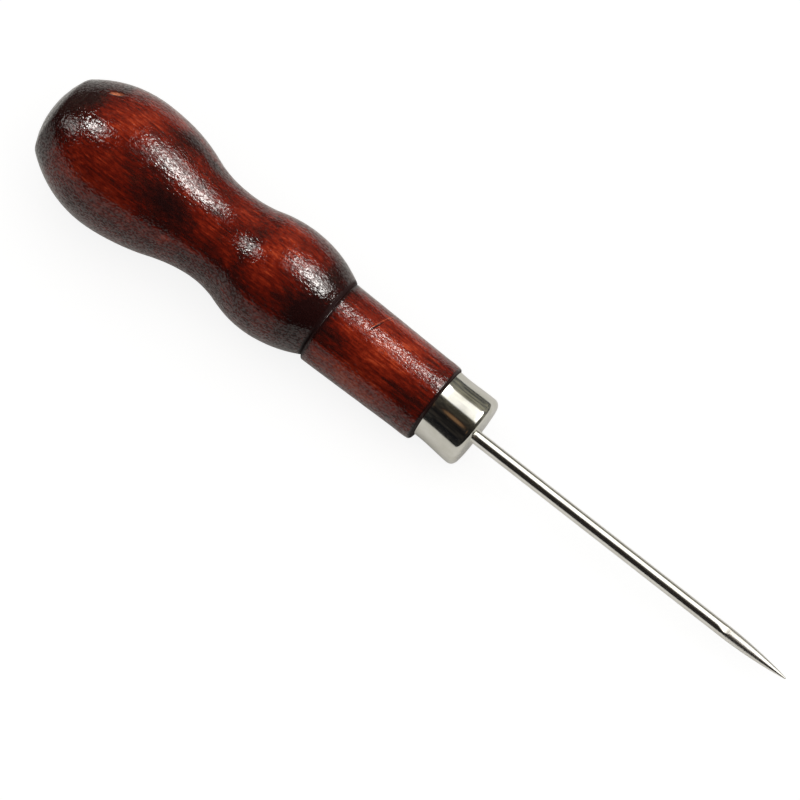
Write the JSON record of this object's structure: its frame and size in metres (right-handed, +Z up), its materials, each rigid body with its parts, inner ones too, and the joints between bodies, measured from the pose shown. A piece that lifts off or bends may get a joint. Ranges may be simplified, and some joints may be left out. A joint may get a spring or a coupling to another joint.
{
  "type": "scratch awl",
  "caption": "Scratch awl with a double-bulb turned wooden handle, a plated cup ferrule and a round steel blade ground to a long point.",
  "frame": {"origin": "centre of the ferrule's front face, where the blade leaves it", "axes": "+X along the blade towards its tip; Y and Z across the tool, which is round, with +Z up as it lies"},
  "size_m": [0.13, 0.0208, 0.0208],
  "materials": {
    "handle_wood": "red-brown stain under a glossy, slightly bumpy lacquer",
    "ferrule_nickel": "bright nickel plate on drawn steel",
    "blade_steel": "polished wire with a ground point",
    "cured_glue": "cured epoxy, hidden inside the handle"
  },
  "bodies": {
    "root": {"handle": "handle_wood", "ferrule": "ferrule_nickel", "blade": "blade_steel", "tang_glue": "cured_glue"}
  },
  "joints": []
}
